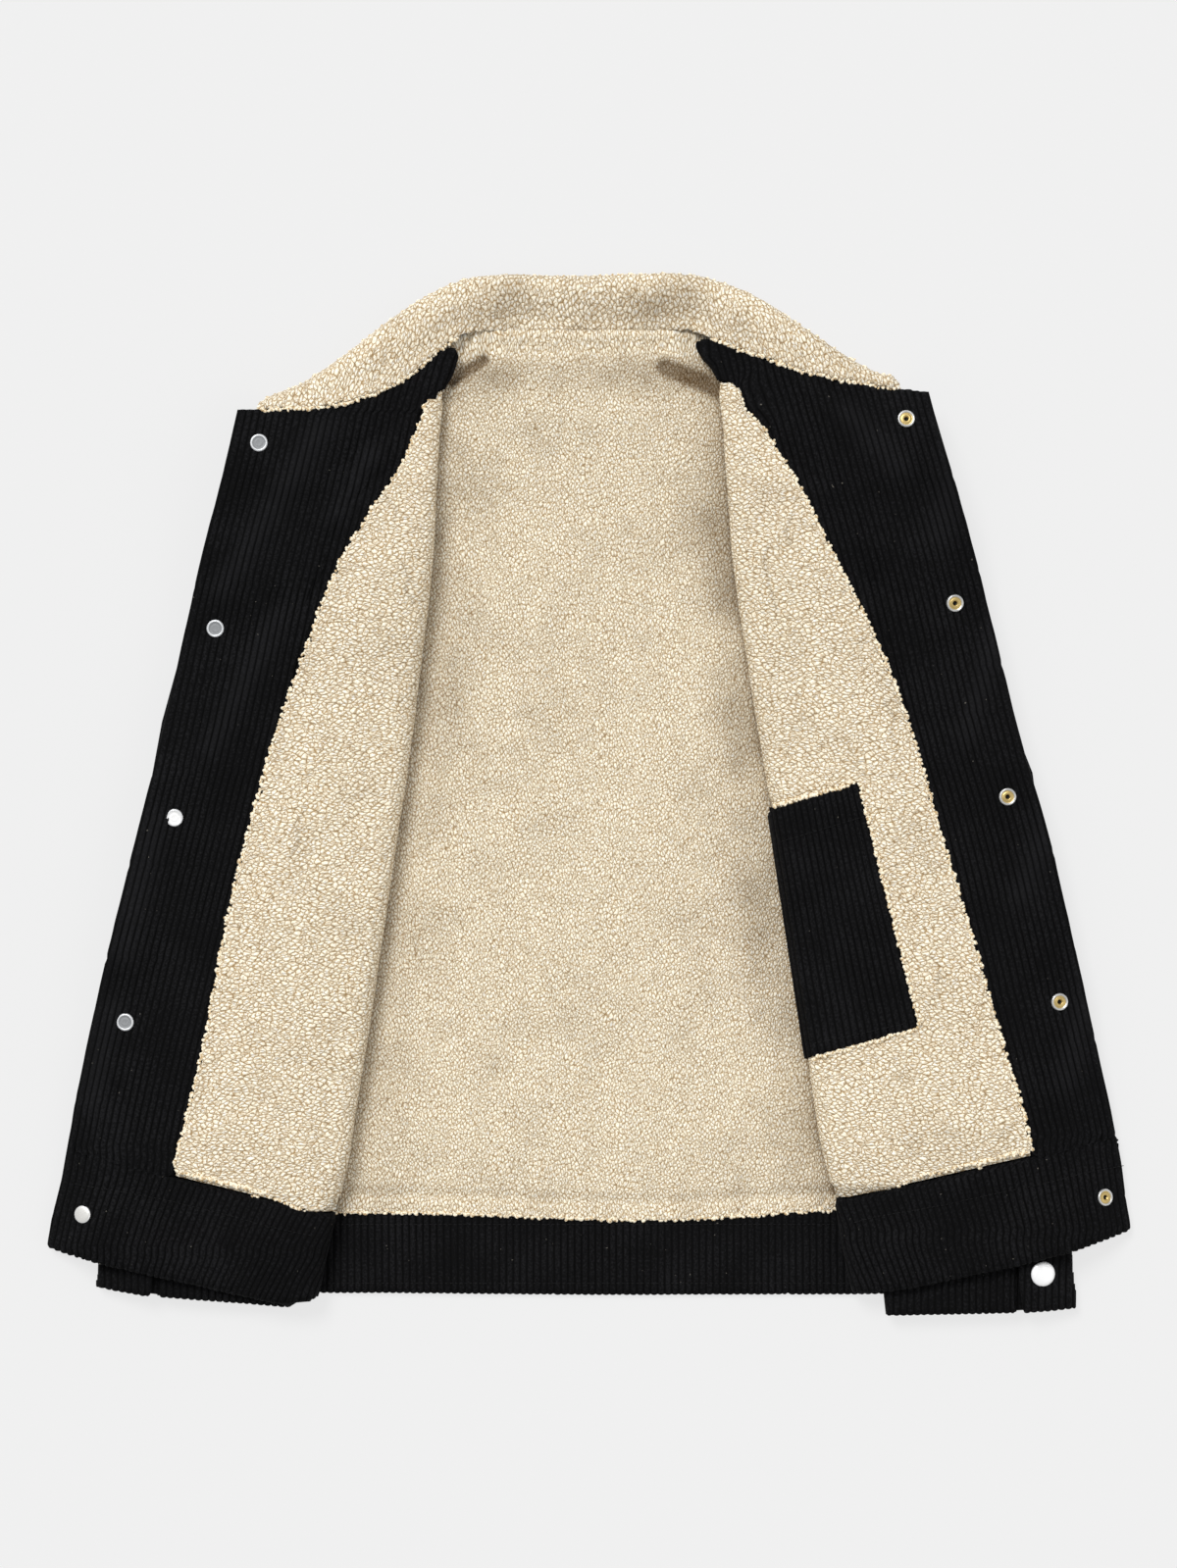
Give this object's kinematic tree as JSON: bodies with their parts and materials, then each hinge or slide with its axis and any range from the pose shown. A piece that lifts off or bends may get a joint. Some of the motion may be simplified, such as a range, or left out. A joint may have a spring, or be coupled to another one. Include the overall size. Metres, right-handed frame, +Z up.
{
  "type": "sherpa lined jacket",
  "caption": "Corduroy jacket with sherpa lining and collar, laid open on its back with its fronts folded outwards over flat sleeves.",
  "frame": {"origin": "under the middle of the laid garment, on the surface it lies on", "axes": "+X across the garment to the right as seen from above with the collar at the top, +Y from hem to collar, +Z up from the surface"},
  "size_m": [0.75, 0.7224, 0.038],
  "materials": {
    "corduroy": "black wide wale corduroy with a soft nap",
    "sherpa": "cream curly pile",
    "snap_metal": "satin silver coloured",
    "snap_socket_metal": "brass inside a silver coloured ring"
  },
  "bodies": {
    "root": {"back_shell": "corduroy", "back_lining": "sherpa", "back_hem_band": "corduroy", "front_shell_left": "corduroy", "front_shell_right": "corduroy", "front_lining_left": "sherpa", "front_lining_right": "sherpa", "front_facing_left": "corduroy", "front_facing_right": "corduroy", "front_hem_band_left": "corduroy", "front_hem_band_right": "corduroy", "sleeve_left": "corduroy", "sleeve_right": "corduroy", "cuff_left": "corduroy", "cuff_right": "corduroy", "collar_top": "sherpa", "collar_under": "corduroy", "inner_pocket": "corduroy", "snap_post_1": "snap_metal", "snap_post_2": "snap_metal", "snap_post_3": "snap_metal", "snap_post_4": "snap_metal", "snap_post_5": "snap_metal", "snap_socket_1": "snap_socket_metal", "snap_socket_2": "snap_socket_metal", "snap_socket_3": "snap_socket_metal", "snap_socket_4": "snap_socket_metal", "snap_socket_5": "snap_socket_metal", "cuff_snap_left": "snap_metal", "cuff_snap_right": "snap_metal"}
  },
  "joints": []
}
